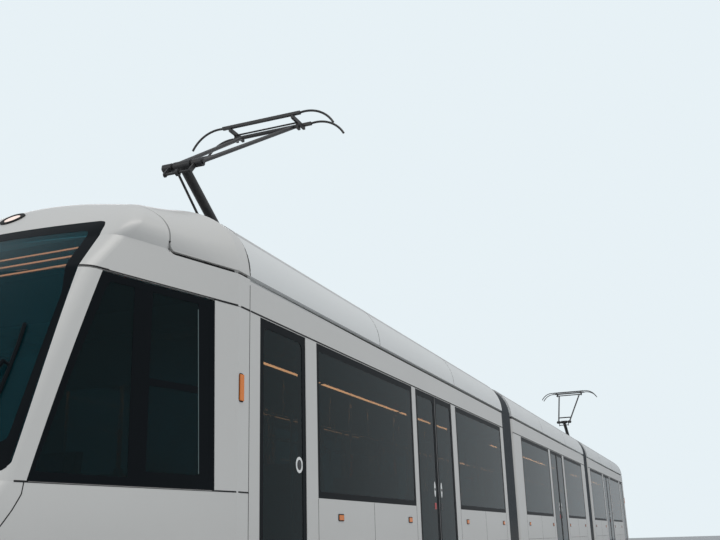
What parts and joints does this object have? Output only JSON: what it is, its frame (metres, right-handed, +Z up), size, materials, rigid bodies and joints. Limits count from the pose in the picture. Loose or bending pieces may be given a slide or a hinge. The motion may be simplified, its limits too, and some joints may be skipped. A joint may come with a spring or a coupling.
{
  "type": "tram",
  "caption": "Low-floor double-ended articulated tram with hinged body sections, pivoting bogies, free-turning wheelsets, glazed cabs and raised roof pantographs.",
  "frame": {"origin": "under the middle of the tram, at the level of the wheel flanges' tips; the rails' top is 25 mm higher", "axes": "+Z up, the first cab looks along -Y, +X to the side whose doors are seen in the picture"},
  "size_m": [2.67, 31.7926, 5.5449],
  "materials": {
    "body_panels": "white satin paint",
    "cab_shell": "white painted composite shell",
    "roof": "grey paint",
    "door_frames": "dark satin paint",
    "window_glass": "tinted glass",
    "windscreen_glass": "tinted laminated glass",
    "bellows": "coated folded fabric",
    "seats": "woven seat cover",
    "fittings": "grey moulded panels and metal poles",
    "lamps": "clear and amber lenses",
    "floor": "dark grey floor covering",
    "underframe": "dark grey paint",
    "bogie_frame": "dark grey paint",
    "wheels": "worn steel treads",
    "pantograph": "near-black paint"
  },
  "bodies": {
    "middle_module": {"middle_doors": "door_frames", "middle_fittings": "fittings", "middle_floor": "floor", "middle_lamps": "lamps", "middle_roof": "roof", "middle_seats": "seats", "middle_side_walls": "body_panels", "middle_underframe": "underframe", "middle_windows": "window_glass", "front_bellows": "bellows", "rear_bellows": "bellows"},
    "front_module": {"front_cab_mask": "cab_shell", "front_doors": "door_frames", "front_fittings": "fittings", "front_floor": "floor", "front_lamps": "lamps", "front_roof": "roof", "front_seats": "seats", "front_side_walls": "body_panels", "front_underframe": "underframe", "front_windows": "window_glass", "front_windscreen": "windscreen_glass", "front_pantograph_base": "pantograph"},
    "rear_module": {"rear_cab_mask": "cab_shell", "rear_doors": "door_frames", "rear_fittings": "fittings", "rear_floor": "floor", "rear_lamps": "lamps", "rear_roof": "roof", "rear_seats": "seats", "rear_side_walls": "body_panels", "rear_underframe": "underframe", "rear_windows": "window_glass", "rear_windscreen": "windscreen_glass", "rear_pantograph_base": "pantograph"},
    "first_bogie": {"first_bogie": "bogie_frame"},
    "first_leading_wheelset": {"first_leading_wheelset": "wheels"},
    "first_trailing_wheelset": {"first_trailing_wheelset": "wheels"},
    "second_bogie": {"second_bogie": "bogie_frame"},
    "second_leading_wheelset": {"second_leading_wheelset": "wheels"},
    "second_trailing_wheelset": {"second_trailing_wheelset": "wheels"},
    "third_bogie": {"third_bogie": "bogie_frame"},
    "third_leading_wheelset": {"third_leading_wheelset": "wheels"},
    "third_trailing_wheelset": {"third_trailing_wheelset": "wheels"},
    "fourth_bogie": {"fourth_bogie": "bogie_frame"},
    "fourth_leading_wheelset": {"fourth_leading_wheelset": "wheels"},
    "fourth_trailing_wheelset": {"fourth_trailing_wheelset": "wheels"},
    "front_pantograph_lower_arm": {"front_pantograph_lower_arm": "pantograph"},
    "front_pantograph_upper_arm": {"front_pantograph_upper_arm": "pantograph"},
    "front_pantograph_head": {"front_pantograph_head": "pantograph"},
    "front_pantograph_guide_rod": {"front_pantograph_guide_rod": "pantograph"},
    "rear_pantograph_lower_arm": {"rear_pantograph_lower_arm": "pantograph"},
    "rear_pantograph_upper_arm": {"rear_pantograph_upper_arm": "pantograph"},
    "rear_pantograph_head": {"rear_pantograph_head": "pantograph"},
    "rear_pantograph_guide_rod": {"rear_pantograph_guide_rod": "pantograph"}
  },
  "joints": [
    {"name": "front_gangway_hinge", "type": "hinge", "parent": "middle_module", "child": "front_module", "pos_m": [0, -4.48, 0.29], "axis": [0, 0, 1], "range_deg": [-20, 20], "deforming": ["front_bellows"]},
    {"name": "rear_gangway_hinge", "type": "hinge", "parent": "middle_module", "child": "rear_module", "pos_m": [0, 4.48, 0.29], "axis": [0, 0, 1], "range_deg": [-20, 20], "deforming": ["rear_bellows"]},
    {"name": "first_bogie_pivot", "type": "hinge", "parent": "front_module", "child": "first_bogie", "pos_m": [0, -10.64, 0.3], "axis": [0, 0, 1], "range_deg": [-7, 7]},
    {"name": "first_leading_axle", "type": "hinge", "parent": "first_bogie", "child": "first_leading_wheelset", "pos_m": [0, -11.54, 0.325], "axis": [1, 0, 0], "continuous": true},
    {"name": "first_trailing_axle", "type": "hinge", "parent": "first_bogie", "child": "first_trailing_wheelset", "pos_m": [0, -9.74, 0.325], "axis": [1, 0, 0], "continuous": true},
    {"name": "second_bogie_pivot", "type": "hinge", "parent": "middle_module", "child": "second_bogie", "pos_m": [0, -2.23, 0.3], "axis": [0, 0, 1], "range_deg": [-7, 7]},
    {"name": "second_leading_axle", "type": "hinge", "parent": "second_bogie", "child": "second_leading_wheelset", "pos_m": [0, -3.13, 0.325], "axis": [1, 0, 0], "continuous": true},
    {"name": "second_trailing_axle", "type": "hinge", "parent": "second_bogie", "child": "second_trailing_wheelset", "pos_m": [0, -1.33, 0.325], "axis": [1, 0, 0], "continuous": true},
    {"name": "third_bogie_pivot", "type": "hinge", "parent": "middle_module", "child": "third_bogie", "pos_m": [0, 2.23, 0.3], "axis": [0, 0, 1], "range_deg": [-7, 7]},
    {"name": "third_leading_axle", "type": "hinge", "parent": "third_bogie", "child": "third_leading_wheelset", "pos_m": [0, 1.33, 0.325], "axis": [1, 0, 0], "continuous": true},
    {"name": "third_trailing_axle", "type": "hinge", "parent": "third_bogie", "child": "third_trailing_wheelset", "pos_m": [0, 3.13, 0.325], "axis": [1, 0, 0], "continuous": true},
    {"name": "fourth_bogie_pivot", "type": "hinge", "parent": "rear_module", "child": "fourth_bogie", "pos_m": [0, 10.64, 0.3], "axis": [0, 0, 1], "range_deg": [-7, 7]},
    {"name": "fourth_leading_axle", "type": "hinge", "parent": "fourth_bogie", "child": "fourth_leading_wheelset", "pos_m": [0, 9.74, 0.325], "axis": [1, 0, 0], "continuous": true},
    {"name": "fourth_trailing_axle", "type": "hinge", "parent": "fourth_bogie", "child": "fourth_trailing_wheelset", "pos_m": [0, 11.54, 0.325], "axis": [1, 0, 0], "continuous": true},
    {"name": "front_pantograph_raise", "type": "hinge", "parent": "front_module", "child": "front_pantograph_lower_arm", "pos_m": [0, -10.6, 3.415], "axis": [1, 0, 0], "range_deg": [-4, 27]},
    {"name": "front_pantograph_knee", "type": "hinge", "parent": "front_pantograph_lower_arm", "child": "front_pantograph_upper_arm", "pos_m": [0, -11.98774, 4.344], "axis": [1, 0, 0], "range_deg": [-54, 8]},
    {"name": "front_pantograph_head_pivot", "type": "hinge", "parent": "front_pantograph_upper_arm", "child": "front_pantograph_head", "pos_m": [0, -10.26914, 5.4431], "axis": [1, 0, 0], "range_deg": [-4, 27]},
    {"name": "front_pantograph_guide_rod_pivot", "type": "hinge", "parent": "front_module", "child": "front_pantograph_guide_rod", "pos_m": [0, -10.9, 3.295], "axis": [1, 0, 0], "range_deg": [-4.3, 29]},
    {"name": "rear_pantograph_raise", "type": "hinge", "parent": "rear_module", "child": "rear_pantograph_lower_arm", "pos_m": [0, 11.77, 3.415], "axis": [1, 0, 0], "range_deg": [-4, 27]},
    {"name": "rear_pantograph_knee", "type": "hinge", "parent": "rear_pantograph_lower_arm", "child": "rear_pantograph_upper_arm", "pos_m": [0, 10.38226, 4.344], "axis": [1, 0, 0], "range_deg": [-54, 8]},
    {"name": "rear_pantograph_head_pivot", "type": "hinge", "parent": "rear_pantograph_upper_arm", "child": "rear_pantograph_head", "pos_m": [0, 12.10086, 5.4431], "axis": [1, 0, 0], "range_deg": [-4, 27]},
    {"name": "rear_pantograph_guide_rod_pivot", "type": "hinge", "parent": "rear_module", "child": "rear_pantograph_guide_rod", "pos_m": [0, 11.47, 3.295], "axis": [1, 0, 0], "range_deg": [-4.3, 29]}
  ],
  "couplings": [
    {"joint": "front_pantograph_knee", "follows": "front_pantograph_raise", "ratio": -2},
    {"joint": "front_pantograph_head_pivot", "follows": "front_pantograph_raise", "ratio": 1},
    {"joint": "front_pantograph_guide_rod_pivot", "follows": "front_pantograph_raise", "ratio": 1.07},
    {"joint": "rear_pantograph_knee", "follows": "rear_pantograph_raise", "ratio": -2},
    {"joint": "rear_pantograph_head_pivot", "follows": "rear_pantograph_raise", "ratio": 1},
    {"joint": "rear_pantograph_guide_rod_pivot", "follows": "rear_pantograph_raise", "ratio": 1.07}
  ]
}
